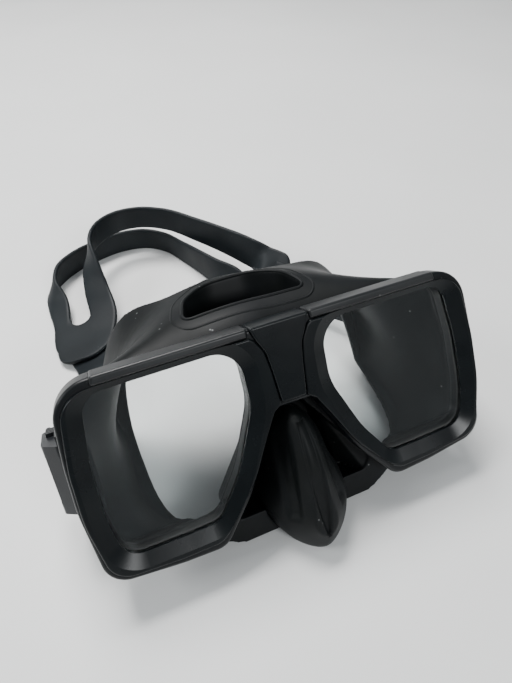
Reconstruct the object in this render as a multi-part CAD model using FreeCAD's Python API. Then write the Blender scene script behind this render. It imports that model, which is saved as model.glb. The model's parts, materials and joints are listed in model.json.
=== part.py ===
"""A two-lens diving mask at rest on a table, with its head strap lying behind it.

The mask is drawn in its worn frame: x to the viewer's right, d back from the front face towards
the head, u up, with the zero of all three at the middle of the bridge. It is then leaned back and
set down, as it rests on its nose pocket and the lower edge of its skirt. The strap is drawn in the
table frame, which shares that zero but has z straight up. Millimetres throughout.
"""
import FreeCAD, Part
import math
import os

V = FreeCAD.Vector

# ---- driving dimensions -------------------------------------------------------------------------
LEAN = 32.16                # the mask's front face leans back by this, degrees
FLOOR = -70.0               # height of the table below the middle of the bridge

FRAME_FRONT = 0.8           # depth of the frame's front edge
FRAME_DEPTH = 11.0          # depth of the frame's back face
RING_FRONT = -0.4
RING_LIP_BACK = 2.6         # back of the lip that holds the lens
RING_BACK = 5.2
RING_SLOPE = 5.2            # width of the ring's sloping lip
LENS_FRONT = 2.8
LENS_BACK = 6.4             # 3.6 mm of tempered glass
GASKET_BACK = 7.4
LENS_OVERLAP = 2.0          # how far the glass reaches under the ring's lip
APERTURE_GAP = 0.6          # the frame's aperture is this much wider than the ring's opening
CLEAR = 0.12                # gap between pieces that drop into one another

BRIDGE_FRONT = -0.9
BRIDGE_WRAP = 9.0           # how far the bridge cover reaches back over the top
TRIM_FRONT, TRIM_BACK = -0.2, 8.0

SKIRT_FRONT = FRAME_DEPTH
SILICONE = 2.0              # wall of the skirt
NOSE_WALL = 2.2
HEAD_RADIUS = 90.0          # the face edge of the skirt follows a head this round
HEAD_TOP = (47.0, 28.0)     # depth and height of the face edge above the forehead
HEAD_LIP = (37.0, -59.0)    # and at the upper lip
JAW_POINT = (30.0, -58.8)   # depth and height of a point on the plane that cuts the cheeks' edge
JAW_TILT = 52.0             # that plane leans back from upright by this, degrees
FLANGE = 2.0

BUCKLE_HEIGHT = -23.5       # height of the middle of both buckles
PIN_X, PIN_D = 81.0, 18.0   # swivel pin
PIN_R = 1.4
KNUCKLE_R = 2.6
RUNNING = 0.05              # radial clearance of a turning fit
ROLLER_X, ROLLER_D = 85.2, 25.0
ROLLER_R = 2.2
ROLLER_PIN_R = 1.0
ROLLER_GROOVES = 10
STRAP_THICK = 2.2
STRAP_GAP = 0.3             # between the strap and the roller it goes round
TAIL_HALF = 9.0             # half the width of the strap's tails
CHEEK_IN, CHEEK_OUT = 9.5, 14.1     # a cheek of the buckle, from its middle height
EAR_OUT = 19.5
TAB_TRAVEL = 1.5
SWIVEL_SPLIT = 30.0         # the strap is split on this radius about the swivel pin


# ---- outlines -----------------------------------------------------------------------------------
def rounded(corners):
    """A closed wire in the x-u plane from corners (x, u, radius), each rounded to its radius."""
    count = len(corners)
    starts, mids, ends = [], [], []
    for i, (x, u, radius) in enumerate(corners):
        here = V(x, 0, u)
        before = V(corners[i - 1][0], 0, corners[i - 1][1]) - here
        after = V(corners[(i + 1) % count][0], 0, corners[(i + 1) % count][1]) - here
        half = before.getAngle(after) / 2
        run = radius / math.tan(half)
        middle = V(before).normalize() + V(after).normalize()
        middle.normalize()
        starts.append(here + V(before).normalize() * run)
        ends.append(here + V(after).normalize() * run)
        mids.append(here + middle * (radius / math.sin(half) - radius))
    edges = []
    for i in range(count):
        edges.append(Part.Arc(starts[i], mids[i], ends[i]).toShape())
        following = starts[(i + 1) % count]
        if (following - ends[i]).Length > 1e-4:
            edges.append(Part.makeLine(ends[i], following))
    return Part.Wire(edges)


def mirrored(half):
    """Both halves of a symmetric outline, from the right half's corners listed top to bottom."""
    left = [(-x, u, radius) for x, u, radius in reversed(half)]
    return half + left


def inset(half, by):
    """The points of a right half moved inwards by a wall's thickness."""
    ring = [(-half[1][0], half[1][1])] + half + [(-half[-2][0], half[-2][1])]
    moved = []
    for before, (x, u), after in zip(ring, ring[1:], ring[2:]):
        run = V(after[0] - before[0], 0, after[1] - before[1]).normalize()
        moved.append((max(x + by * run.z, 0.0) if x > 0 else 0.0, u - by * run.x))
    return moved


def spline(half, depth):
    """A smooth closed wire at one depth, through points (x, u) of its right half and their twins."""
    left = [(-x, u) for x, u in reversed(half) if x > 0]
    curve = Part.BSplineCurve()
    curve.interpolate([V(x, depth, u) for x, u in list(half) + left], PeriodicFlag=True)
    return Part.Wire(curve.toShape())


def slab(wire, start, end, grow=0.0):
    """The outline, grown outwards by grow, as a solid between two depths."""
    if grow:
        wire = wire.makeOffset2D(grow)
    face = Part.Face(wire)
    face.translate(V(0, start, 0))
    return face.extrude(V(0, end - start, 0))


def at_depth(wire, depth):
    moved = wire.copy()
    moved.translate(V(0, depth, 0))
    return moved


def box(x0, x1, d0, d1, u0, u1):
    return Part.makeBox(x1 - x0, d1 - d0, u1 - u0, V(x0, d0, u0))


def mirror(shape):
    return shape.mirror(V(0, 0, 0), V(1, 0, 0))


FRAME_HALF = [(80.2, 15.0, 14), (82.9, -12, 60), (83.7, -30, 60),
              (81.4, -60.4, 10), (55, -63.6, 60), (37.8, -64.4, 8), (22.8, -45.9, 50),
              (14.2, -29, 40), (8.2, -17.4, 4)]
RING = [(12.0, 11.8, 1.0), (77.8, 11.8, 11), (81.9, -14, 60), (82.7, -34, 60), (79.3, -58.6, 9.5),
        (55, -60.7, 60), (38.5, -60.9, 8), (22.0, -42.5, 50), (13.5, -26.5, 40), (8.6, -18.0, 1.6),
        (5.4, -15.8, 1.2), (6.4, -2.0, 30), (7.6, 6.0, 8), (10.4, 10.6, 2)]
OPENING = [(16.4, 9.7, 11), (71.0, 9.6, 8), (74.9, -14, 60), (75.7, -36, 60), (73.2, -52.8, 8),
           (50, -53.4, 60), (37.6, -53.3, 7), (26.5, -37.5, 50), (16.2, -14, 25)]
BRIDGE_HALF = [(11.6, 15.4, 0.8), (9.9, 10.6, 3), (7.1, 5.0, 8), (6.0, -4.0, 30),
               (5.0, -15.2, 1.2)]
TRIM = [(12.0, 15.6, 0.8), (66.5, 15.6, 1.0), (67.5, 12.1, 1.0), (12.3, 12.1, 0.8)]
FACE_OPENING = [(0, 16), (30, 14), (44.5, 7), (53, -3), (56.5, -16), (58, -32), (57.5, -45),
                (55.5, -55), (50, -62), (34, -63), (16, -60.5), (0, -59.5)]

# The skirt's outer outline at several depths, right half, from the forehead to the upper lip
SKIRT = {
    11.0: [(0, 13), (35, 13.2), (60, 13), (75, 8.5), (77.4, -8), (77.6, -34), (76.4, -53.5),
           (65, -60.5), (46, -64), (30, -73), (15, -75.4), (0, -75.7)],
    20.0: [(0, 21), (30, 20), (52, 15.5), (67, 6), (73, -11), (74.5, -29), (72, -47), (61, -58.5),
           (45, -65), (30, -69), (15, -69.8), (0, -69.9)],
    30.0: [(0, 25.2), (30, 23), (44, 17.5), (56.5, 8), (66, -7), (70.5, -26), (69.5, -42.5),
           (61, -57), (46, -63), (30, -63.5), (14, -63.6), (0, -63.6)],
    47.0: [(0, 28.5), (29, 25), (41, 20.5), (52, 10.5), (61, -5), (66.5, -21), (66, -37),
           (60.5, -49), (46, -55), (30, -54), (14, -53.6), (0, -53.6)],
    80.0: [(0, 31), (25, 28), (39.5, 20.5), (50, 10.5), (58.5, -3), (63, -15), (62.5, -32), (56, -44),
           (43, -46), (28, -40), (14, -35), (0, -34)],
}
# The nose pocket's outer outline at several depths, right half
NOSE = {
    -8.0: [(0, -42), (2.2, -46), (3.6, -56), (4.6, -64), (3.2, -69.5), (0, -71)],
    -4.0: [(0, -27), (4.0, -34), (6.8, -50), (9.2, -64), (5.2, -74.5), (0, -78)],
    3.0: [(0, -20.5), (7.0, -30), (11.0, -48), (14.6, -64), (9.2, -77), (0, -81.6)],
    12.0: [(0, -21.5), (9.5, -31), (14.0, -48), (17.8, -61), (13.2, -71.5), (0, -75.8)],
    26.0: [(0, -25), (11.0, -33), (15.0, -45), (17.5, -55), (13.5, -61.5), (0, -63.5)],
}
WELL_HALF = [(6.0, -20.5, 2), (32.5, -57.5, 4), (28.5, -62.5, 3)]
WELL_DEPTH = 24.0
# The hollow in the skirt above the forehead, seen from above: corners (x, d, radius)
RECESS = [(-29, 20.5, 2.0), (21, 20.5, 2.0), (17, 34.5, 12), (6.5, 43.5, 16), (-14.5, 43.5, 16),
          (-25, 34.5, 12)]
RECESS_FLOOR, RECESS_TOP = 14.0, 45.0

# The ear and the cheek of a buckle, and the shield in front of its roller, seen along the swivel
# pin: corners (x, d, radius)
EAR = [(78.4, 12.0, 0.5), (83.6, 12.0, 0.5), (83.9, 19.5, 1.8), (81.5, 20.9, 1.8),
       (78.6, 20.0, 1.8)]
CHEEK = [(78.8, 16.0, 2.0), (84.6, 15.8, 2.0), (90.2, 20.6, 2.5), (90.4, 34.6, 2.0),
         (81.4, 35.0, 2.0), (79.2, 30.0, 3.0)]
SHIELD = [(83.0, 16.0, 0.4), (84.6, 15.8, 0.8), (90.2, 20.6, 0.6), (89.3, 21.7, 0.4),
          (83.7, 17.1, 0.3)]
TAB_X, TAB_D = (83.3, 88.4), (27.6, 33.0)
TAB_FLOOR, TAB_TOP = 10.5, 15.6

# The strap, from the left buckle round to the right one: (x, y, z, roll, half width) at stations
# along its middle. Roll is 0 where it stands on edge and 90 where it lies with its outside up.
PAD_THICK = 2.8
BAND_HALF = 8.0
TAIL_LEFT = [(-81.6, 19.9, -40.3, 0, 9), (-81.6, 28.4, -45.6, 0, 9), (-80.0, 42, -50.0, 6, 9),
             (-75.5, 56, -54.5, 26, 9), (-69.5, 72, -59.5, 50, 9), (-66.5, 87, -63.5, 70, 9),
             (-66.0, 98, -64.5, 77, 9)]
PAD_LEFT = [(-66.0, 98, -64.5, 77, 18), (-65.0, 112, -64.3, 77, 19.3),
            (-63.5, 128, -62.9, 73, 19.3)]
BAND_LOWER = [(-74.0, 129, -66, 70, 8), (-75.5, 143, -64.8, 60, 8), (-75.8, 156, -62.6, 30, 7.7),
              (-70, 168, -62.3, 5, 7.6), (-58, 179, -62.3, 0, 7.6), (-44, 184.5, -62.3, 0, 7.6),
              (-29, 187.5, -62.3, 0, 7.6), (-13, 185, -62.3, 0, 7.6), (-2, 176, -62.3, 0, 7.6),
              (6, 159.5, -62.2, 0, 7.7), (12, 144, -61.8, 0, 7.8), (18, 130, -61.4, -10, 8),
              (25, 117, -60.5, -28, 8), (32, 106, -59, -42, 8)]
BAND_UPPER = [(-53.0, 127, -61, 70, 8), (-52.5, 140, -56, 58, 8), (-51, 153, -49, 38, 7.7),
              (-48, 165, -45, 12, 7.6), (-41, 176, -44.5, 0, 7.6), (-30, 183.5, -44.5, 0, 7.6),
              (-15, 183, -44.5, 0, 7.6), (-1, 175.5, -44.5, 0, 7.6), (16, 155.5, -44.5, 0, 7.7),
              (34, 129, -45, -8, 8), (41, 117, -46, -25, 8), (47, 108, -46.5, -42, 8)]
PAD_RIGHT = [(37.0, 109, -54.2, -42, 18.3), (42.0, 102, -54.4, -42, 18.3),
             (46.5, 95.5, -54.4, -40, 17.5)]
TAIL_RIGHT = [(46.5, 95.5, -54.4, -40, 9), (58, 80, -55, -25, 9), (70.5, 62, -53.5, -8, 9),
              (79, 45, -51.0, 0, 9), (81.6, 28.4, -45.6, 0, 9), (81.6, 19.9, -40.3, 0, 9)]


# ---- the rigid front ----------------------------------------------------------------------------
def bridge_prism(grow=0.0):
    """The keystone over the bridge: it covers the front and wraps over the top of the frame."""
    outline = rounded(BRIDGE_HALF + [(-x, u, r) for x, u, r in reversed(BRIDGE_HALF)])
    front = slab(outline, BRIDGE_FRONT - grow, RING_BACK + grow, grow)
    top = box(-30, 30, BRIDGE_FRONT - grow, BRIDGE_WRAP + grow, 12.0 - grow, 15.9 + grow)
    return front.fuse(top.common(slab(outline, -5, 20, grow))).removeSplitter()


def trim_prism(grow=0.0):
    """The strip along the top edge over one lens."""
    return slab(rounded(TRIM), TRIM_FRONT - grow, TRIM_BACK + grow, grow)


def lens_stack_pocket():
    """The room in the frame for one ring, its lens and its gasket, right-hand side."""
    ring_room = slab(rounded(RING), FRAME_FRONT - 3, RING_BACK + CLEAR, CLEAR)
    lens_room = slab(rounded(OPENING), RING_BACK, GASKET_BACK, LENS_OVERLAP + CLEAR)
    aperture = slab(rounded(OPENING), GASKET_BACK - 1, FRAME_DEPTH + 1, APERTURE_GAP)
    return ring_room.fuse([lens_room, aperture])


def front_frame():
    body = slab(rounded(mirrored(FRAME_HALF)), FRAME_FRONT, FRAME_DEPTH)
    body = body.makeFillet(2.5, [e for e in body.Edges if e.BoundBox.YMin > FRAME_DEPTH - 0.01])
    body = body.makeFillet(1.5, [e for e in body.Edges if e.BoundBox.YMax < FRAME_FRONT + 0.01])
    room = lens_stack_pocket().fuse(trim_prism(CLEAR))
    return body.cut([room, mirror(room), bridge_prism(CLEAR)])


def lens_ring():
    """The right-hand retaining ring: a sloping lip in front of the glass and a wall round it."""
    ring = slab(rounded(RING), RING_FRONT, RING_BACK)
    ring = ring.makeFillet(0.7, [e for e in ring.Edges if e.BoundBox.YMax < RING_FRONT + 0.01])
    opening = rounded(OPENING)
    funnel = Part.makeLoft([at_depth(opening.makeOffset2D(RING_SLOPE), RING_FRONT - 0.01),
                            at_depth(opening, RING_LIP_BACK - 0.8)], True, True)
    lens_room = slab(opening, LENS_FRONT - CLEAR, RING_BACK + 1, LENS_OVERLAP + CLEAR)
    ring = ring.cut([funnel, slab(opening, RING_FRONT - 1, RING_BACK + 1), lens_room])
    return ring.cut([bridge_prism(CLEAR), trim_prism(CLEAR)])


def lens():
    glass = slab(rounded(OPENING), LENS_FRONT, LENS_BACK, LENS_OVERLAP)
    return glass.makeChamfer(0.4, [e for e in glass.Edges if e.BoundBox.YMax < LENS_FRONT + 0.01])


def gasket():
    ring = slab(rounded(OPENING), LENS_BACK, GASKET_BACK, LENS_OVERLAP)
    return ring.cut(slab(rounded(OPENING), LENS_BACK - 1, GASKET_BACK + 1, APERTURE_GAP))


def bridge_cover():
    cover = bridge_prism()
    front = [e for e in cover.Edges if e.BoundBox.YMax < BRIDGE_FRONT + 0.01]
    return cover.makeFillet(0.8, front)


def brow_trim():
    strip = trim_prism()
    top_front = [e for e in strip.Edges if e.BoundBox.YMax < TRIM_FRONT + 0.01]
    return strip.makeFillet(1.1, top_front)


# ---- the soft skirt -----------------------------------------------------------------------------
def loft(sections, by=0.0, shift=0.0):
    """A smooth solid through outlines given by depth, inset by a wall's thickness."""
    wires = [spline(inset(half, by) if by else half, depth + shift)
             for depth, half in sections.items()]
    return Part.makeLoft(wires, True, False)


def head(grow=0.0):
    """The head that the face edge is shaped to, as a tall cylinder tilted to meet the lip."""
    tilt = math.degrees(math.atan2(HEAD_TOP[0] - HEAD_LIP[0], HEAD_TOP[1] - HEAD_LIP[1]))
    tall = Part.makeCylinder(HEAD_RADIUS + grow, 400, V(0, HEAD_RADIUS, -200))
    tall.rotate(V(0, 0, 0), V(1, 0, 0), -tilt)
    slope = math.radians(tilt)
    tall.translate(V(0, HEAD_LIP[0] - math.tan(slope) * HEAD_LIP[1]
                     + HEAD_RADIUS * (1 / math.cos(slope) - 1), 0))
    return tall


def face(grow=0.0):
    """The head and, below it, everything behind the plane that the cheeks' edge is cut to."""
    jaw = Part.makeBox(600, 300, 600, V(-300, -grow, -300))
    jaw.rotate(V(0, 0, 0), V(1, 0, 0), -JAW_TILT)
    jaw.translate(V(0, JAW_POINT[0], JAW_POINT[1]))
    return head(grow).fuse(jaw)


def table(rise=0.0):
    """Everything below the surface that the mask rests on, or below rise over it."""
    under = Part.makeBox(600, 600, 200, V(-300, -300, FLOOR - 200 + rise))
    under.rotate(V(0, 0, 0), V(1, 0, 0), LEAN)
    return under


def recess(grow=0.0):
    """The hollow over the forehead, straight in front and arched behind, as a prism."""
    return plate(RECESS, (RECESS_FLOOR - grow, RECESS_TOP), grow)


def nose_outer():
    return loft(NOSE)


def skirt():
    """The moulded skirt: walls, the well round the nose, the forehead recess and the face flange."""
    outer = loft(SKIRT)
    inside = loft(SKIRT, SILICONE).cut(box(-99, 99, 0, SKIRT_FRONT + SILICONE, -99, 99))
    well = rounded(mirrored(WELL_HALF))
    walls = outer.cut(inside).fuse(slab(well, SKIRT_FRONT, WELL_DEPTH + SILICONE, SILICONE))
    walls = walls.cut(slab(well, SKIRT_FRONT - 1, WELL_DEPTH)).cut(recess())
    walls = walls.fuse(recess(SILICONE).common(outer).cut(recess())).cut(face())
    flange = outer.common(face(FLANGE)).cut(slab(spline(FACE_OPENING, 0), 10, 100)).cut(face())
    walls = walls.fuse(flange)
    window = slab(rounded(OPENING), SKIRT_FRONT - 1, SKIRT_FRONT + SILICONE + 0.5, APERTURE_GAP)
    return walls.cut(window).cut(mirror(window)).cut(nose_outer()).cut(table())


def nose_pocket():
    inner = {depth: half for depth, half in NOSE.items() if depth > -8}
    inner[30.0] = [(x, u + 3) for x, u in NOSE[26.0]]
    hollow = loft(inner, NOSE_WALL, NOSE_WALL).cut(table(NOSE_WALL))
    return nose_outer().cut(hollow).cut(table())


# ---- one buckle, drawn on the right and mirrored for the left -----------------------------------
def beside_middle(low, high):
    """The heights of a pair of pieces, one above and one below the buckle's middle."""
    return [(BUCKLE_HEIGHT + low, BUCKLE_HEIGHT + high),
            (BUCKLE_HEIGHT - high, BUCKLE_HEIGHT - low)]


def rod(radius, x, d, half):
    return Part.makeCylinder(radius, 2 * half, V(x, d, BUCKLE_HEIGHT - half))


def plate(corners, heights, grow=0.0):
    """A flat plate with rounded corners (x, d, radius), between two heights, grown outwards by grow."""
    wire = rounded(corners)
    if grow:
        wire = wire.makeOffset2D(grow)
    wire.rotate(V(0, 0, 0), V(1, 0, 0), -90)
    face = Part.Face(wire)
    face.translate(V(0, 0, heights[0]))
    return face.extrude(V(0, 0, heights[1] - heights[0]))


def fused(shapes):
    return shapes[0].fuse(shapes[1:]).removeSplitter()


def buckle_bracket():
    web = box(78.4, 83.6, FRAME_DEPTH, FRAME_DEPTH + 2.4, BUCKLE_HEIGHT - EAR_OUT,
              BUCKLE_HEIGHT + EAR_OUT)
    ears = [plate(EAR, heights) for heights in beside_middle(CHEEK_OUT + 0.3, EAR_OUT)]
    return fused([web] + ears).cut(rod(PIN_R, PIN_X, PIN_D, 2 * EAR_OUT))


def swivel_pin():
    shaft = rod(PIN_R, PIN_X, PIN_D, EAR_OUT)
    cap = Part.makeCylinder(2.1, 0.8, V(PIN_X, PIN_D, BUCKLE_HEIGHT + EAR_OUT))
    return shaft.fuse(cap)


def buckle_body():
    knuckle = rod(KNUCKLE_R, PIN_X, PIN_D, CHEEK_OUT)
    cheeks = [plate(CHEEK, heights) for heights in beside_middle(CHEEK_IN, CHEEK_OUT)]
    locking_bar = box(83.8, 86.6, 30.0, 32.6, BUCKLE_HEIGHT - CHEEK_IN, BUCKLE_HEIGHT + CHEEK_IN)
    shield = plate(SHIELD, (BUCKLE_HEIGHT - CHEEK_IN - 0.5, BUCKLE_HEIGHT + CHEEK_IN + 0.5))
    body = fused([knuckle, locking_bar, shield] + cheeks)
    pockets = [box(TAB_X[0] - 0.2, TAB_X[1] + 0.2, TAB_D[0] - 0.2, TAB_D[1] + 0.2, low, high)
               for low, high in beside_middle(TAB_FLOOR, CHEEK_OUT + 1)]
    bores = [rod(PIN_R + RUNNING, PIN_X, PIN_D, EAR_OUT),
             rod(ROLLER_PIN_R, ROLLER_X, ROLLER_D, CHEEK_OUT - 0.9)]
    return body.cut(pockets + bores)


def roller():
    drum = rod(ROLLER_R, ROLLER_X, ROLLER_D, CHEEK_IN - 0.3)
    grooves = []
    for k in range(ROLLER_GROOVES):
        angle = 2 * math.pi * k / ROLLER_GROOVES
        grooves.append(rod(0.35, ROLLER_X + (ROLLER_R + 0.1) * math.cos(angle),
                           ROLLER_D + (ROLLER_R + 0.1) * math.sin(angle), CHEEK_IN + 1))
    bore = rod(ROLLER_PIN_R + RUNNING, ROLLER_X, ROLLER_D, CHEEK_IN + 1)
    return drum.cut(grooves + [bore])


def roller_pin():
    return rod(ROLLER_PIN_R, ROLLER_X, ROLLER_D, CHEEK_OUT - 0.9)


def release_tab(upper):
    """A grooved tab in the cheek, pressed towards the buckle's middle to free the strap."""
    low, high = beside_middle(TAB_FLOOR + TAB_TRAVEL + 0.3, TAB_TOP)[0 if upper else 1]
    tab = box(TAB_X[0], TAB_X[1], TAB_D[0], TAB_D[1], low, high)
    face = high if upper else low
    grooves = [box(TAB_X[0] - 1, TAB_X[1] + 1, d, d + 0.5, face - 0.4, face + 0.4)
               for d in (TAB_D[0] + 1.0, TAB_D[0] + 2.4, TAB_D[0] + 3.8)]
    return tab.cut(grooves)


def strap_end():
    """The strap's last stretch: in along the skirt's side, round the roller and back outside."""
    inner_radius = ROLLER_R + STRAP_GAP
    outer_radius = inner_radius + STRAP_THICK
    low, high = BUCKLE_HEIGHT - TAIL_HALF, BUCKLE_HEIGHT + TAIL_HALF
    turn = rod(outer_radius, ROLLER_X, ROLLER_D, TAIL_HALF)
    turn = turn.cut([rod(inner_radius, ROLLER_X, ROLLER_D, TAIL_HALF + 1),
                     box(0, 99, ROLLER_D, 99, low - 1, high + 1)])
    runs = [box(ROLLER_X - outer_radius, ROLLER_X - inner_radius, ROLLER_D, 60, low, high),
            box(ROLLER_X + inner_radius, ROLLER_X + outer_radius, ROLLER_D, 60, low, high)]
    return fused([turn] + runs).common(rod(SWIVEL_SPLIT, PIN_X, PIN_D, 20))


# ---- the strap, in the table frame --------------------------------------------------------------
def ribbon_frames(stations):
    """For each station (x, y, z, roll, half width): centre, width direction, normal, half width."""
    points = [V(*station[:3]) for station in stations]
    frames = []
    for i, (x, y, z, roll, half) in enumerate(stations):
        along = (points[min(i + 1, len(points) - 1)] - points[max(i - 1, 0)]).normalize()
        level = along.cross(V(0, 0, 1)).normalize()
        upright = level.cross(along)
        lean = math.radians(roll)
        wide = upright * math.cos(lean) + level * math.sin(lean)
        frames.append((points[i], wide, wide.cross(along), half))
    return frames


def ribbon(frames, thick):
    """A flat strap through frames: one closed solid."""
    wires = []
    for centre, wide, normal, half in frames:
        a, b = wide * half, normal * (thick / 2)
        wires.append(Part.makePolygon([centre - a - b, centre + a - b, centre + a + b,
                                       centre - a + b, centre - a - b]))
    return Part.makeLoft(wires, True, False)


def band(stations, start, end, side):
    """One of the two bands behind the head, from one pad's end frame to the other's."""
    frames = ribbon_frames(stations)
    ends = []
    for centre, wide, normal, half in (start, end):
        ends.append((centre + wide * (side * (half - BAND_HALF)), wide, normal, BAND_HALF))
    return ribbon([ends[0]] + frames[1:-1] + [ends[1]], STRAP_THICK)


def strap():
    """The strap's six stretches by name."""
    pad_left, pad_right = ribbon_frames(PAD_LEFT), ribbon_frames(PAD_RIGHT)
    tail_left, tail_right = ribbon_frames(TAIL_LEFT), ribbon_frames(TAIL_RIGHT)
    tail_left[-1] = pad_left[0][:3] + (TAIL_HALF,)
    tail_right[0] = pad_right[-1][:3] + (TAIL_HALF,)
    return {
        "strap_tail_left": ribbon(tail_left, STRAP_THICK),
        "strap_pad_left": ribbon(pad_left, PAD_THICK),
        "strap_band_lower": band(BAND_LOWER, pad_left[-1], pad_right[0], -1),
        "strap_band_upper": band(BAND_UPPER, pad_left[-1], pad_right[0], 1),
        "strap_pad_right": ribbon(pad_right, PAD_THICK),
        "strap_tail_right": ribbon(tail_right, STRAP_THICK),
    }


# ---- assembly -----------------------------------------------------------------------------------
def leaned(shape):
    """From the worn frame to the table frame."""
    moved = shape.copy()
    moved.rotate(V(0, 0, 0), V(1, 0, 0), -LEAN)
    return moved


def pieces():
    """Every piece by node name, in the table frame."""
    made = {"front_frame": front_frame(), "bridge_cover": bridge_cover(), "skirt": skirt(),
            "nose_pocket": nose_pocket()}
    paired = {"lens_ring": lens_ring(), "lens": lens(), "lens_gasket": gasket(),
              "brow_trim": brow_trim(), "buckle_bracket": buckle_bracket(),
              "swivel_pin": swivel_pin(), "buckle_body": buckle_body(),
              "strap_roller": roller(), "roller_pin": roller_pin(),
              "release_tab_upper": release_tab(True), "release_tab_lower": release_tab(False),
              "strap_end": strap_end()}
    for name, shape in paired.items():
        made[name + "_right"] = shape
        made[name + "_left"] = mirror(shape)
    made = {name: leaned(shape) for name, shape in made.items()}
    loops = strap()
    for side, name in ((-1, "strap_tail_left"), (1, "strap_tail_right")):
        swing = leaned(Part.makeCylinder(SWIVEL_SPLIT + 0.6, 60, V(side * PIN_X, PIN_D,
                                                                   BUCKLE_HEIGHT - 30)))
        loops[name] = loops[name].cut(swing)
    made.update(loops)
    return made


def main():
    made = pieces()
    corners = [p for shape in made.values() for p in shape.tessellate(0.1)[0]]
    low, high = (V(pick(p.x for p in corners), pick(p.y for p in corners),
                   pick(p.z for p in corners)) for pick in (min, max))
    origin = V(0, (low.y + high.y) / 2, FLOOR)
    os.makedirs("parts", exist_ok=True)
    for name, shape in made.items():
        shape.translate(origin * -1)
        shape.exportStep("parts/" + name + ".step")
        print(name, len(shape.Solids), shape.isValid(), round(shape.Volume))
    print("bridge middle at", origin * -1)
    print("lowest", low - origin, "highest", high - origin)


main()
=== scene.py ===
import json
import math

import bmesh
import bpy
import numpy as np
from mathutils import Matrix, Vector
from mathutils.bvhtree import BVHTree


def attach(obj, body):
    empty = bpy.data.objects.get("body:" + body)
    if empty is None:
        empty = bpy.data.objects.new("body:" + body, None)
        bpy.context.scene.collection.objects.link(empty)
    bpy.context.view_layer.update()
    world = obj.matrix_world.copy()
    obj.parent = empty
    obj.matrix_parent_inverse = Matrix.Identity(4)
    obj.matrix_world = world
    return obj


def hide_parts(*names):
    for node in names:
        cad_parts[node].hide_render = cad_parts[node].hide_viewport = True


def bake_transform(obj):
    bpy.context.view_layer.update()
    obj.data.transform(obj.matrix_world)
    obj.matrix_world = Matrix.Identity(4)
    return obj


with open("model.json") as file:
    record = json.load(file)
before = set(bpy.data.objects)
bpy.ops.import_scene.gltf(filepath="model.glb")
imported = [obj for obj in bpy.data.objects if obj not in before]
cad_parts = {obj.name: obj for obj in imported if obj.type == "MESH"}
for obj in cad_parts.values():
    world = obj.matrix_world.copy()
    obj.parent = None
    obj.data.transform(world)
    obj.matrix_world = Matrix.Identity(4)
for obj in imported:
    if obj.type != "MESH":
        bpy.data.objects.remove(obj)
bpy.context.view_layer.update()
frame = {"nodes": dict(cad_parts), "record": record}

# ---- where things are ---------------------------------------------------------------------------
MM = 0.001
LEAN = math.radians(32.16)                    # the mask's front face leans back by this
BRIDGE = Vector((0.0, -0.071815, 0.070))      # the middle of the bridge
ACROSS = Vector((1, 0, 0))
BACK = Vector((0, math.cos(LEAN), -math.sin(LEAN)))
UP = Vector((0, math.sin(LEAN), math.cos(LEAN)))

BUCKLE_HEIGHT = -23.5                         # millimetres in the mask's worn frame
ROLLER_X, ROLLER_D = 85.2, 25.0
TURN_RADIUS = 3.6                             # middle of the strap as it goes round the roller
STRAP_THICK = 2.2
PAD_THICK = 2.6
LOWER_BAND = 4.9                              # half widths of the two bands where they leave a pad
UPPER_BAND = 7.9
RUN_IN = (38.0, 30.0)                         # depths of the strap's points before the roller
RUN_OUT = (32.0, 39.0, 46.0)                  # and after it, to the cut free end

# The strap's stations (x, y, z, roll, half width) in millimetres from the bridge, table upright
TAIL_LEFT = [(-65.0, 112, -66.4, -77, 13), (-65.8, 100, -66.5, -77, 12.5),
             (-66.5, 87, -64.4, -70, 9.8), (-69.5, 72, -59.5, -50, 9), (-75.5, 56, -54.5, -26, 9),
             (-80.0, 42, -50.0, -6, 9), (-81.6, 28.4, -45.6, 0, 9)]
TAIL_RIGHT = [(40.4, 100.6, -53.2, -42, 12.5), (45.2, 93.9, -53.4, -40, 12), (58, 80, -55, -25, 9),
              (70.5, 62, -53.5, -8, 9), (79, 45, -51.0, 0, 9), (81.6, 28.4, -45.6, 0, 9)]
PAD_LEFT = [(-71.5, 93.0, -64.4, 77, 9.5), (-70.5, 98, -64.4, 77, 13.4), (-68.6, 104, -64.4, 77, 16),
            (-66.7, 112, -64.3, 77, 18), (-64.9, 119.5, -63.7, 76, 18.8)]
PAD_RIGHT = [(37.0, 109, -54.2, -42, 18.3), (42.0, 102, -54.4, -42, 18.3),
             (46.5, 95.5, -54.4, -40, 17.5)]
BAND_LOWER = [(-76.8, 143, -64.8, 60, 7.0), (-77.6, 156, -62.6, 30, 7.7), (-71.5, 168.5, -62.3, 5, 7.8),
              (-58.5, 179, -62.3, 0, 7.8), (-44, 184.5, -62.4, 0, 7.6), (-29, 187.5, -62.4, 0, 7.6),
              (-13, 185, -62.4, 0, 7.6), (-2, 176, -62.3, 0, 7.6), (6, 159.5, -61.7, 0, 8.2),
              (12, 144, -60.6, 0, 9.2), (18, 130, -60.4, -10, 9.0), (25, 117, -60.2, -28, 8.0)]
BAND_UPPER = [(-53.6, 140, -56, 58, 8), (-52.6, 153, -49, 38, 7.8), (-49.6, 165, -45, 12, 7.6),
              (-42.3, 176, -44.4, 0, 7.5), (-30, 183.5, -44.3, 0, 7.5), (-15, 183, -44.2, 0, 7.5),
              (-1, 175.5, -44.4, 0, 7.8), (16, 155.5, -45.3, 0, 8.7), (34, 129, -46.2, -8, 9.4),
              (41, 117, -46.8, -25, 8.6)]


def worn(x, depth, height):
    """A point in the mask's worn frame, millimetres, as a place in the scene."""
    return BRIDGE + (ACROSS * x + BACK * depth + UP * height) * MM


def laid(x, y, z):
    """A point from the bridge with the table upright, millimetres, as a place in the scene."""
    return BRIDGE + Vector((x, y, z)) * MM


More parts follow.
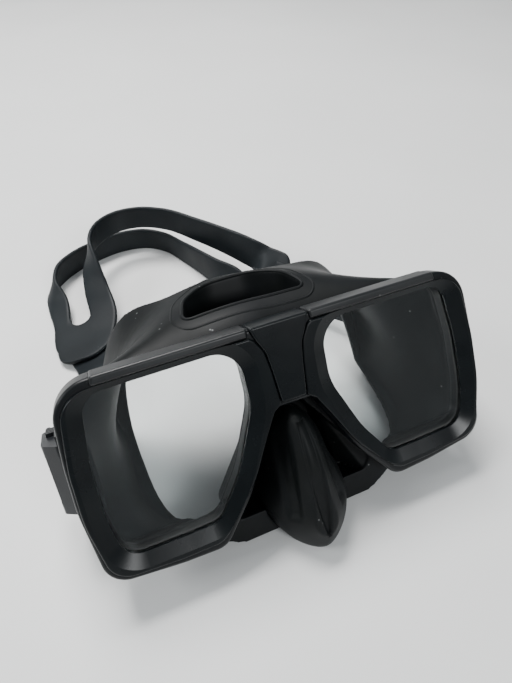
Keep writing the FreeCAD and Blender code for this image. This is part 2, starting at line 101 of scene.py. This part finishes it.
# ---- materials ----------------------------------------------------------------------------------
class Nodes:
    """A material's node tree with short calls to add to it."""

    def __init__(self, name):
        self.material = bpy.data.materials.new(name)
        self.material.use_nodes = True
        self.tree = self.material.node_tree
        self.shader = self.tree.nodes["Principled BSDF"]
        self.place = self.tree.nodes.new("ShaderNodeTexCoord").outputs["Object"]

    def add(self, kind, **settings):
        node = self.tree.nodes.new(kind)
        for key, value in settings.items():
            setattr(node, key, value)
        return node

    def join(self, start, end):
        self.tree.links.new(start, end)

    def noise(self, scale, detail=3.0, stretch=None):
        """Noise with this many features to the metre."""
        node = self.add("ShaderNodeTexNoise")
        node.inputs["Scale"].default_value = scale
        node.inputs["Detail"].default_value = detail
        source = self.place
        if stretch:
            mapping = self.add("ShaderNodeMapping")
            mapping.inputs["Scale"].default_value = stretch
            self.join(self.place, mapping.inputs["Vector"])
            source = mapping.outputs["Vector"]
        self.join(source, node.inputs["Vector"])
        return node.outputs["Fac"]

    def ranged(self, value, low, high, start=0.3, end=0.7):
        node = self.add("ShaderNodeMapRange")
        for key, number in (("From Min", start), ("From Max", end), ("To Min", low), ("To Max", high)):
            node.inputs[key].default_value = number
        self.join(value, node.inputs["Value"])
        return node.outputs["Result"]

    def blended(self, amount, first, second):
        node = self.add("ShaderNodeMix", data_type="RGBA")
        for socket, colour in zip(node.inputs[6:8], (first, second)):       # its two colours
            if isinstance(colour, tuple):
                socket.default_value = colour + (1.0,)
            else:
                self.join(colour, socket)
        self.join(amount, node.inputs[0])
        return node.outputs[2]

    def bump(self, value, height, normal=None):
        node = self.add("ShaderNodeBump")
        node.inputs["Distance"].default_value = height
        self.join(value, node.inputs["Height"])
        if normal is not None:
            self.join(normal, node.inputs["Normal"])
        return node.outputs["Normal"]

    def specks(self, per_metre, size, share):
        """Small scattered flecks: 1 inside one, 0 elsewhere. A slower noise chooses which show."""
        cells = self.add("ShaderNodeTexVoronoi")
        cells.inputs["Scale"].default_value = per_metre
        self.join(self.place, cells.inputs["Vector"])
        near = self.ranged(cells.outputs["Distance"], 1.0, 0.0, size * 0.4, size)
        chosen = self.ranged(self.noise(per_metre * 0.31, 1.0), 0.0, 1.0, 1.0 - share, 1.02 - share)
        both = self.add("ShaderNodeMath", operation="MULTIPLY")
        self.join(near, both.inputs[0])
        self.join(chosen, both.inputs[1])
        return both.outputs[0]


MOTTLE = 55.0                                 # features to the metre
SMEARS = 38.0
FLECKS = 330.0
FLECK_SIZE = 0.16                             # a fleck's radius, as a share of their spacing
FLECK_STRENGTH = 0.55
DUST_COLOUR = (0.30, 0.31, 0.31)


def moulding(name, dark, light, rough, grain, ripple=None, dust=0.0, specular=0.5):
    """A moulded plastic or silicone: mottled colour, uneven gloss, grain, a slow ripple and dust.

    grain and ripple are (features to the metre, height in metres), rough is (low, high), and
    the higher dust is, the more flecks there are."""
    n = Nodes(name)
    shader = n.shader
    colour = n.blended(n.ranged(n.noise(MOTTLE), 0.0, 1.0), dark, light)
    if dust:
        fleck = n.ranged(n.specks(FLECKS, FLECK_SIZE, dust), 0.0, FLECK_STRENGTH, 0.0, 1.0)
        colour = n.blended(fleck, colour, DUST_COLOUR)
    n.join(colour, shader.inputs["Base Color"])
    n.join(n.ranged(n.noise(SMEARS, 5.0), rough[0], rough[1]), shader.inputs["Roughness"])
    normal = n.bump(n.noise(grain[0], 2.0), grain[1])
    if ripple:
        normal = n.bump(n.noise(ripple[0], 1.0), ripple[1], normal)
    n.join(normal, shader.inputs["Normal"])
    shader.inputs["Specular IOR Level"].default_value = specular
    return n.material


def turned_steel():
    """Steel with the fine rings of turning round it."""
    n = Nodes("pin_steel")
    n.shader.inputs["Metallic"].default_value = 1.0
    rings = n.noise(900.0, 2.0, (1.0, 1.0, 6.0))
    n.join(n.blended(n.ranged(rings, 0.0, 1.0), (0.50, 0.51, 0.52), (0.62, 0.63, 0.64)),
           n.shader.inputs["Base Color"])
    n.join(n.ranged(rings, 0.22, 0.36), n.shader.inputs["Roughness"])
    n.join(n.bump(rings, 0.00002), n.shader.inputs["Normal"])
    return n.material


GLASS_TINT = (0.90, 0.93, 0.93, 1)


def tempered_glass():
    """Clear glass with a slight tint, which lets the lamps' light through."""
    n = Nodes("lens_glass")
    glass = n.shader
    glass.inputs["Base Color"].default_value = GLASS_TINT
    glass.inputs["Transmission Weight"].default_value = 1.0
    glass.inputs["IOR"].default_value = 1.5
    glass.inputs["Roughness"].default_value = 0.0
    clear = n.add("ShaderNodeBsdfTransparent")
    clear.inputs["Color"].default_value = GLASS_TINT
    path = n.add("ShaderNodeLightPath")
    mix = n.add("ShaderNodeMixShader")
    n.join(path.outputs["Is Shadow Ray"], mix.inputs[0])
    n.join(glass.outputs[0], mix.inputs[1])
    n.join(clear.outputs[0], mix.inputs[2])
    n.join(mix.outputs[0], n.tree.nodes["Material Output"].inputs["Surface"])
    return n.material


MOULDED = {
    "frame_plastic": dict(dark=(0.004, 0.005, 0.006), light=(0.007, 0.008, 0.009), rough=(0.26, 0.38),
                          grain=(1500.0, 0.00001), ripple=(90.0, 0.00002), dust=0.3, specular=0.20),
    "ring_plastic": dict(dark=(0.003, 0.004, 0.005), light=(0.005, 0.007, 0.008), rough=(0.22, 0.34),
                         grain=(1200.0, 0.000008), ripple=(70.0, 0.00003), dust=0.25, specular=0.20),
    "trim_plastic": dict(dark=(0.007, 0.008, 0.009), light=(0.012, 0.013, 0.014), rough=(0.32, 0.44),
                         grain=(2200.0, 0.00002), dust=0.35, specular=0.36),
    "silicone": dict(dark=(0.003, 0.004, 0.004), light=(0.006, 0.007, 0.008), rough=(0.42, 0.56),
                     grain=(900.0, 0.00001), ripple=(45.0, 0.00003), dust=0.35, specular=0.15),
    "strap_silicone": dict(dark=(0.006, 0.008, 0.010), light=(0.010, 0.013, 0.015),
                           rough=(0.42, 0.58), grain=(1300.0, 0.00002), ripple=(60.0, 0.00004),
                           dust=0.3, specular=0.19),
    "gasket_rubber": dict(dark=(0.014, 0.014, 0.014), light=(0.022, 0.022, 0.022),
                          rough=(0.55, 0.7), grain=(1500.0, 0.00003)),
    "buckle_plastic": dict(dark=(0.007, 0.008, 0.010), light=(0.012, 0.014, 0.016),
                           rough=(0.32, 0.44), grain=(2400.0, 0.00003), dust=0.3, specular=0.36),
    "roller_plastic": dict(dark=(0.012, 0.013, 0.015), light=(0.020, 0.021, 0.023),
                           rough=(0.4, 0.55), grain=(1800.0, 0.00003)),
}
MATERIALS = {name: moulding(name, **look) for name, look in MOULDED.items()}
MATERIALS["lens_glass"] = tempered_glass()
MATERIALS["pin_steel"] = turned_steel()


# ---- mesh helpers -------------------------------------------------------------------------------
def new_piece(name, mesh, slot):
    """An object from a mesh, finished in one of the record's material slots."""
    piece = bpy.data.objects.new(name, mesh)
    bpy.context.scene.collection.objects.link(piece)
    mesh.materials.clear()
    mesh.materials.append(MATERIALS[slot])
    mesh.shade_smooth()
    return piece


def mesh_of(points, faces):
    """A mesh from places and the faces between them."""
    mesh = bpy.data.meshes.new("part")
    mesh.from_pydata([tuple(p) for p in points], [], faces)
    return mesh


def faced_outwards(mesh, triangles=False):
    """Turns a closed mesh's faces outwards, and cuts them into triangles if asked."""
    shell = bmesh.new()
    shell.from_mesh(mesh)
    if triangles:
        bmesh.ops.triangulate(shell, faces=shell.faces)
    bmesh.ops.recalc_face_normals(shell, faces=shell.faces)
    shell.to_mesh(mesh)
    shell.free()
    return mesh


def joined(meshes):
    """Several meshes in one."""
    together = bmesh.new()
    for mesh in meshes:
        together.from_mesh(mesh)
    whole = bpy.data.meshes.new("whole")
    together.to_mesh(whole)
    together.free()
    return whole


def welded(meshes, voxel, soften):
    """The union of closed meshes as one moulding, with its edges softened by smoothing.

    voxel is in millimetres, and soften is the number of times that it is smoothed."""
    holder = bpy.data.objects.new("holder", joined(meshes))
    bpy.context.scene.collection.objects.link(holder)
    remesh = holder.modifiers.new("union", "REMESH")
    remesh.mode = "VOXEL"
    remesh.voxel_size = voxel * MM * 1.0
    smooth = holder.modifiers.new("soften", "SMOOTH")
    smooth.factor = 0.5
    smooth.iterations = soften
    made = bpy.data.meshes.new_from_object(
        holder.evaluated_get(bpy.context.evaluated_depsgraph_get()))
    bpy.data.objects.remove(holder)
    return made


def lengths_along(rows):
    """How far along its run each row's place is."""
    steps = np.linalg.norm(np.diff(rows[:, :3], axis=0), axis=1)
    return np.concatenate([[0.0], np.cumsum(steps)])


def eased(stations, spacing):
    """A smooth run through rows of numbers, with a new row about every spacing.

    A row's first three numbers are its place, and the spacing is measured along those."""
    rows = np.array(stations, float)
    at = lengths_along(rows)
    slopes = np.gradient(rows, at, axis=0)
    count = max(8, int(at[-1] / spacing))
    made = []
    for t in np.linspace(0, at[-1], count):
        i = min(max(np.searchsorted(at, t) - 1, 0), len(at) - 2)
        span = at[i + 1] - at[i]
        s = (t - at[i]) / span
        made.append((2 * s ** 3 - 3 * s ** 2 + 1) * rows[i]
                    + (s ** 3 - 2 * s ** 2 + s) * span * slopes[i]
                    + (3 * s ** 2 - 2 * s ** 3) * rows[i + 1]
                    + (s ** 3 - s ** 2) * span * slopes[i + 1])
    return np.array(made)


def laid_rows(stations):
    """Strap stations as rows of place, width direction and half width, in metres."""
    places = [laid(*station[:3]) for station in stations]
    rows = []
    for i, (*_, roll, half) in enumerate(stations):
        along = (places[min(i + 1, len(places) - 1)] - places[max(i - 1, 0)]).normalized()
        level = along.cross(Vector((0, 0, 1))).normalized()
        lean = math.radians(roll)
        wide = level.cross(along) * math.cos(lean) + level * math.sin(lean)
        rows.append([*places[i], *wide, half * MM])
    return rows


CORNER_STEPS = 4
EDGE_ROUNDING = 0.42                          # an edge's radius as a share of the thickness


def strip(rows, thick, tooth=None):
    """A closed flat strip through rows of (place, width direction, half width), with rounded edges.

    thick is its thickness, and tooth(i) says how much one face is cut back at row i."""
    rows = np.array(rows, float)
    places, wides, halves = rows[:, :3], rows[:, 3:6], rows[:, 6]
    along = np.gradient(places, axis=0)
    along /= np.linalg.norm(along, axis=1)[:, None]
    wides = wides - along * np.sum(wides * along, axis=1)[:, None]
    wides /= np.linalg.norm(wides, axis=1)[:, None]
    normals = np.cross(wides, along)
    radius = thick * EDGE_ROUNDING
    points, ring = [], 0
    for i in range(len(rows)):
        cut = 0.0 if tooth is None else tooth(i)
        outline = []
        corners = ((1, 1, 0), (-1, 1, 90), (-1, -1, 180), (1, -1, 270))
        for side, face, turn in corners:
            top = thick / 2 if face > 0 else thick / 2 - cut
            for k in range(CORNER_STEPS + 1):
                angle = math.radians(turn + 90.0 * k / CORNER_STEPS)
                across = side * (halves[i] - radius) + radius * math.cos(angle)
                proud = face * (top - radius) + radius * math.sin(angle)
                outline.append((across, proud))
        ring = len(outline)
        points += [places[i] + wides[i] * a + normals[i] * b for a, b in outline]
    faces = []
    for i in range(len(rows) - 1):
        for k in range(ring):
            after = (k + 1) % ring
            faces.append((i * ring + k, (i + 1) * ring + k, (i + 1) * ring + after, i * ring + after))
    faces.append(tuple(range(ring)))
    last = (len(rows) - 1) * ring
    faces.append(tuple(last + k for k in reversed(range(ring))))
    return faced_outwards(mesh_of(points, faces))


def tube(path, radius):
    """A closed loop of round section along a closed path of places."""
    sides = 8
    count = len(path)
    points, faces = [], []
    for i in range(count):
        along = (path[(i + 1) % count] - path[i - 1]).normalized()
        side = along.cross(UP).normalized()
        up = side.cross(along)
        for k in range(sides):
            angle = 2 * math.pi * k / sides
            points.append(path[i] + (side * math.cos(angle) + up * math.sin(angle)) * radius)
    for i in range(count):
        for k in range(sides):
            after, turn = (i + 1) % count, (k + 1) % sides
            faces.append((i * sides + k, i * sides + turn, after * sides + turn, after * sides + k))
    return mesh_of(points, faces)


def tree_of(mesh):
    """A mesh's triangles, ready to be met by rays."""
    mesh.calc_loop_triangles()
    triangles = [triangle.vertices for triangle in mesh.loop_triangles]
    return BVHTree.FromPolygons([vertex.co for vertex in mesh.vertices], triangles)


# ---- the soft skirt and the nose pocket ---------------------------------------------------------
def rounded_run(corners, grow, spacing):
    """Points (x, depth) round an outline of corners (x, depth, radius), moved outwards by grow."""
    run = []
    for i, (x, depth, radius) in enumerate(corners):
        here = Vector((x, depth))
        before = (Vector(corners[i - 1][:2]) - here).normalized()
        after = (Vector(corners[(i + 1) % len(corners)][:2]) - here).normalized()
        half = before.angle(after) / 2
        centre = here + (before + after).normalized() * (radius / math.sin(half))
        start = here + before * (radius / math.tan(half)) - centre
        end = here + after * (radius / math.tan(half)) - centre
        turn = math.pi - 2 * half
        side = 1 if start.x * end.y - start.y * end.x > 0 else -1
        steps = max(3, int(turn * (radius + grow) / spacing))
        for k in range(steps + 1):
            angle = side * turn * k / steps
            spoke = Vector((start.x * math.cos(angle) - start.y * math.sin(angle),
                            start.x * math.sin(angle) + start.y * math.cos(angle)))
            run.append(centre + spoke * (radius + grow) / radius)
    filled = []
    for i, point in enumerate(run):
        following = run[(i + 1) % len(run)]
        pieces = max(1, int((following - point).length / spacing))
        filled += [point.lerp(following, k / pieces) for k in range(pieces)]
    return filled


# The hollow over the forehead, as corners (x, depth, radius)
RECESS = [(-29, 20.5, 2.0), (21, 20.5, 2.0), (17, 34.5, 12), (6.5, 43.5, 16), (-14.5, 43.5, 16),
          (-25, 34.5, 12)]
# The beads round it, as (distance outside its edge, radius, how deep the middle is sunk)
BEADS = [(0.7, 0.75, 0.15), (5.0, 0.7, 0.5)]
BEAD_SPACING = 1.5
ABOVE_SKIRT = 60.0                            # height from which the skirt's top is felt for
# The sloping side of the well beside the nose, as corners (x, depth, height)
WELL_RAMP = [(14, 14, -31.5), (31.8, 12.2, -57), (28.5, 12.2, -62), (13.5, 22, -37),
             (20.5, 22, -60.5), (14, 25.5, -32), (32, 25.5, -57), (28, 25.5, -62), (20, 25.5, -61)]
SKIRT_VOXEL, SKIRT_SOFTENING = 0.55, 7


def well_ramp(side):
    """The sloping side of one well, as a closed block to weld to the skirt."""
    hull = bmesh.new()
    for x, depth, height in WELL_RAMP:
        hull.verts.new(worn(side * x, depth, height))
    bmesh.ops.convex_hull(hull, input=hull.verts)
    bmesh.ops.recalc_face_normals(hull, faces=hull.faces)
    mesh = bpy.data.meshes.new("ramp")
    hull.to_mesh(mesh)
    hull.free()
    return mesh


def skirt():
    """The moulded skirt, with raised beads round the hollow over the forehead."""
    base = frame["nodes"]["skirt"].data
    tree = tree_of(base)
    beads = []
    for grow, radius, sink in BEADS:
        path = []
        for x, depth in rounded_run(RECESS, grow, BEAD_SPACING):
            hit = tree.ray_cast(worn(x, depth, ABOVE_SKIRT), -UP)[0]
            if hit is not None:
                path.append(hit - UP * sink * MM)
        beads.append(tube(path, radius * MM))
    moulded = welded([base, well_ramp(-1), well_ramp(1)], SKIRT_VOXEL, SKIRT_SOFTENING)
    piece = new_piece("skirt_moulding", joined([moulded] + beads), "silicone")
    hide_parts("skirt")
    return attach(piece, "mask")


def fading(value, start, end):
    """1 up to start, falling evenly to 0 at end."""
    return min(max((end - value) / (end - start), 0.0), 1.0)


def falling(value, start, end):
    """1 up to start, easing to 0 at end."""
    part = fading(value, start, end)
    return part * part * (3 - 2 * part)


NOSE_TOP, NOSE_BOTTOM = -24.0, -72.0          # heights between which the nose pocket is shaped
NOSE_VOXEL, NOSE_SOFTENING = 0.5, 6
CHANNEL_HALF_WIDTH, CHANNEL_DEPTH = 3.6, 1.5
SCOOP_HALF_WIDTH, SCOOP_DEPTH = 3.0, 1.6
SCOOP_OFF_TOP, SCOOP_SPREAD = 7.0, 4.6        # a scoop's middle at the top, and how it moves out


def nose():
    """The nose pocket, with a channel down its front between two ribs and a scoop on each side."""
    mesh = welded([frame["nodes"]["nose_pocket"].data], NOSE_VOXEL, NOSE_SOFTENING)
    for vertex in mesh.vertices:
        away = vertex.co - BRIDGE
        x, depth, height = away.dot(ACROSS) / MM, away.dot(BACK) / MM, away.dot(UP) / MM
        down = (NOSE_TOP - height) / (NOSE_TOP - NOSE_BOTTOM)
        if not 0.0 < down < 1.0:
            continue
        # The channel is widest half way down, closes at the bottom, and is cut into the front only
        taper = math.sin(math.pi * min(0.15 + down * 0.85, 1.0)) ** 0.6
        channel = CHANNEL_HALF_WIDTH * taper
        hollow = CHANNEL_DEPTH * falling(abs(x), channel * 0.55, channel)
        vertex.co += BACK * (hollow * fading(depth, 1.0, 9.0) * MM)
        # A scoop starts a sixth of the way down, ends at three quarters, and is dented back and in
        off = abs(abs(x) - (SCOOP_OFF_TOP + SCOOP_SPREAD * down)) / SCOOP_HALF_WIDTH
        scoop = SCOOP_DEPTH * falling(off, 0.25, 1.0) * falling(down, 0.74, 0.84)
        scoop *= min(down * 6.0, 1.0) * fading(depth, 6.0, 14.0)
        inwards = BACK * 0.8 - ACROSS * math.copysign(0.6, x)
        vertex.co += inwards * (scoop * MM)
    piece = new_piece("nose_moulding", mesh, "silicone")
    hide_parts("nose_pocket")
    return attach(piece, "mask")


# ---- the strap ----------------------------------------------------------------------------------
def rounded_ends(rows, start_radius, end_radius):
    """Narrows a plate's half width towards its ends, so that its corners are round."""
    rows = np.array(rows, float)
    at = lengths_along(rows)
    for i, along in enumerate(at):
        for radius, reach in ((start_radius, along), (end_radius, at[-1] - along)):
            if radius and reach < radius:
                rows[i, 6] -= radius - math.sqrt(max(radius ** 2 - (radius - reach) ** 2, 0.0))
    return rows


def slot_web(row, along, thick):
    """The rounded end of the slot between the bands, at a pad's edge."""
    wide = Vector(row[3:6]).normalized()
    half_gap = row[6] - (LOWER_BAND + UPPER_BAND) * MM
    place = Vector(row[:3]) + wide * (LOWER_BAND - UPPER_BAND) * MM
    normal = wide.cross(along).normalized()
    lap, root = MM, 2 * MM                    # how far it reaches into the bands, and into the pad
    outline = [(-half_gap - lap, -root), (half_gap + lap, -root), (half_gap + lap, half_gap)]
    steps = 12
    for k in range(steps + 1):
        angle = math.pi * k / steps
        outline.append((half_gap * math.cos(angle), half_gap * (1 - math.sin(angle))))
    outline.append((-half_gap - lap, half_gap))
    points = []
    for face in (-thick / 2, thick / 2):
        points += [place + wide * a + along * b + normal * face for a, b in outline]
    count = len(outline)
    faces = [tuple(range(count)), tuple(count + k for k in reversed(range(count)))]
    for k in range(count):
        after = (k + 1) % count
        faces.append((k, count + k, count + after, after))
    return faced_outwards(mesh_of(points, faces), triangles=True)


def band_rows(stations, left, right, side, half):
    """A band's rows: along the left pad's edge, through its own stations, and along the right pad's."""
    def beside(row):
        at = np.array(row, float)
        wide = at[3:6] / np.linalg.norm(at[3:6])
        return [*(at[:3] + wide * side * (at[6] - half * MM)), *wide, half * MM]

    start = [beside(left[-2]), beside(left[-1])]
    end = [beside(right[0]), beside(right[1])]
    return start + laid_rows(stations) + end


PAD_CORNER_LEFT, PAD_CORNER_RIGHT = 5.0, 6.0  # radii where a pad meets its tail
STRAP_VOXEL, STRAP_SOFTENING = 0.6, 4


def strap_rear():
    """The two pads and the two bands between them, as one moulding."""
    left, right = laid_rows(PAD_LEFT), laid_rows(PAD_RIGHT)
    spacing = 1.0 * MM
    parts = []
    for rows, start_radius, end_radius in ((left, PAD_CORNER_LEFT, 0.0), (right, 0.0, PAD_CORNER_RIGHT)):
        run = rounded_ends(eased(rows, spacing / 2), start_radius * MM, end_radius * MM)
        parts.append(strip(run, PAD_THICK * MM))
    for stations, side, half in ((BAND_LOWER, -1, LOWER_BAND), (BAND_UPPER, 1, UPPER_BAND)):
        rows = band_rows(stations, left, right, side, half)
        parts.append(strip(eased(rows, spacing), PAD_THICK * MM))
    for rows, other in ((left[-1], left[-2]), (right[0], right[1])):
        along = (Vector(rows[:3]) - Vector(other[:3])).normalized()
        parts.append(slot_web(rows, along, PAD_THICK * MM))
    piece = new_piece("strap_rear", welded(parts, STRAP_VOXEL, STRAP_SOFTENING), "strap_silicone")
    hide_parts("strap_pad_left", "strap_pad_right", "strap_band_lower", "strap_band_upper")
    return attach(piece, "mask")


TOOTH_PITCH = 3.0
TOOTH_DEPTH = 0.5
TOOTHED_LENGTH = 78.0                         # measured back from the free end
FREE_END_CORNER = 5.0


def strap_tail(side, name, stations):
    """A tail from its pad to the buckle, round the roller, and back as the free end."""
    rows = laid_rows(stations)
    inner = side * (ROLLER_X - TURN_RADIUS)
    outer = side * (ROLLER_X + TURN_RADIUS)
    path = [(inner, depth) for depth in RUN_IN]
    turn_steps = 8
    for k in range(turn_steps + 1):
        angle = math.pi * k / turn_steps
        path.append((side * (ROLLER_X - TURN_RADIUS * math.cos(angle)),
                     ROLLER_D - TURN_RADIUS * math.sin(angle)))
    path += [(outer, depth) for depth in RUN_OUT]
    half = stations[0][4] * MM
    for x, depth in path:
        rows.append([*worn(x, depth, BUCKLE_HEIGHT), *UP, half])
    for row in rows[len(stations) - 1:]:      # from the buckle's edge on, the strap stands upright
        row[3:6] = list(UP)
    smooth = rounded_ends(eased(rows, 0.5 * MM), 0.0, FREE_END_CORNER * MM)
    at = lengths_along(smooth)
    toothed = at[-1] - TOOTHED_LENGTH * MM

    def tooth(i):
        if at[i] < toothed:
            return 0.0
        return TOOTH_DEPTH * MM * (0.5 - 0.5 * math.cos(2 * math.pi * at[i] / (TOOTH_PITCH * MM)))

    piece = new_piece("strap_" + name, strip(smooth, STRAP_THICK * MM, tooth), "strap_silicone")
    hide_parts("strap_tail_" + name, "strap_end_" + name)
    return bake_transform(piece)


# ---- the rigid pieces keep their shapes ---------------------------------------------------------
def finish_rigid():
    """Gives every CAD node the procedural material of its slot."""
    slots = {part["node"]: part["material_slot"] for part in frame["record"]["subparts"]}
    for name, node in frame["nodes"].items():
        node.data.materials.clear()
        node.data.materials.append(MATERIALS[slots[name]])


# ---- the stage ----------------------------------------------------------------------------------
def floor():
    """A plain pale floor."""
    n = Nodes("floor")
    n.join(n.blended(n.ranged(n.noise(6.0), 0.0, 1.0), (0.74, 0.745, 0.74), (0.78, 0.785, 0.78)),
           n.shader.inputs["Base Color"])
    n.shader.inputs["Roughness"].default_value = 0.45
    size = 6.0
    mesh = mesh_of([(-size, -size, 0), (size, -size, 0), (size, size, 0), (-size, size, 0)],
                   [(0, 1, 2, 3)])
    mesh.materials.append(n.material)
    plane = bpy.data.objects.new("floor", mesh)
    bpy.context.scene.collection.objects.link(plane)


# Soft lamps, as name: (place, what it points at, size, watts, colour)
LAMPS = {
    "overhead": ((-0.10, 0.55, 1.05), (0, 0, 0), (0.55, 0.40), 23.0, (1.0, 0.99, 0.98)),
    "left": ((-1.1, 0.15, 0.75), (0, 0, 0.03), (0.5, 0.35), 9.0, (0.97, 0.99, 1.0)),
    "front": ((0.35, -1.2, 0.9), (0, 0, 0.03), (0.5, 0.3), 10.0, (0.97, 0.99, 1.0)),
}
SKY_COLOUR = (0.90, 0.96, 1.0, 1)
SKY_STRENGTH = 0.30


def lamp(name, place, target, size, watts, colour):
    """A soft rectangular lamp that points at target."""
    data = bpy.data.lights.new(name, "AREA")
    data.shape = "RECTANGLE"
    data.size, data.size_y = size
    data.energy = watts
    data.color = colour
    holder = bpy.data.objects.new(name, data)
    holder.location = place
    holder.rotation_mode = "QUATERNION"
    holder.rotation_quaternion = (Vector(target) - Vector(place)).to_track_quat("-Z", "Y")
    bpy.context.scene.collection.objects.link(holder)


def light():
    """Soft light from all round, and the lamps."""
    world = bpy.data.worlds.new("studio")
    world.use_nodes = True
    back = world.node_tree.nodes["Background"]
    back.inputs["Color"].default_value = SKY_COLOUR
    back.inputs["Strength"].default_value = SKY_STRENGTH
    bpy.context.scene.world = world
    for name, settings in LAMPS.items():
        lamp(name, *settings)


CAMERA_PLACE = Vector((-0.05896, -0.17977, 0.20827))
CAMERA_FORWARD = Vector((0.2752, 0.6326, -0.7239))
CAMERA_RIGHT = Vector((0.917, -0.399, 0.0))
CAMERA_LENS = 26.88


def camera():
    """A camera above the mask's left front corner, turned to look down at it."""
    data = bpy.data.cameras.new("view")
    data.lens = CAMERA_LENS
    data.sensor_width = 36.0
    data.clip_start = 0.01
    holder = bpy.data.objects.new("view", data)
    forward = CAMERA_FORWARD.normalized()
    right = CAMERA_RIGHT.normalized()
    turn = Matrix((right, right.cross(forward), -forward)).transposed()
    holder.matrix_world = Matrix.Translation(CAMERA_PLACE) @ turn.to_4x4()
    bpy.context.scene.collection.objects.link(holder)
    bpy.context.scene.camera = holder


finish_rigid()
skirt()
nose()
strap_rear()
strap_tail(-1, "left", TAIL_LEFT)
strap_tail(1, "right", TAIL_RIGHT)
floor()
light()
camera()
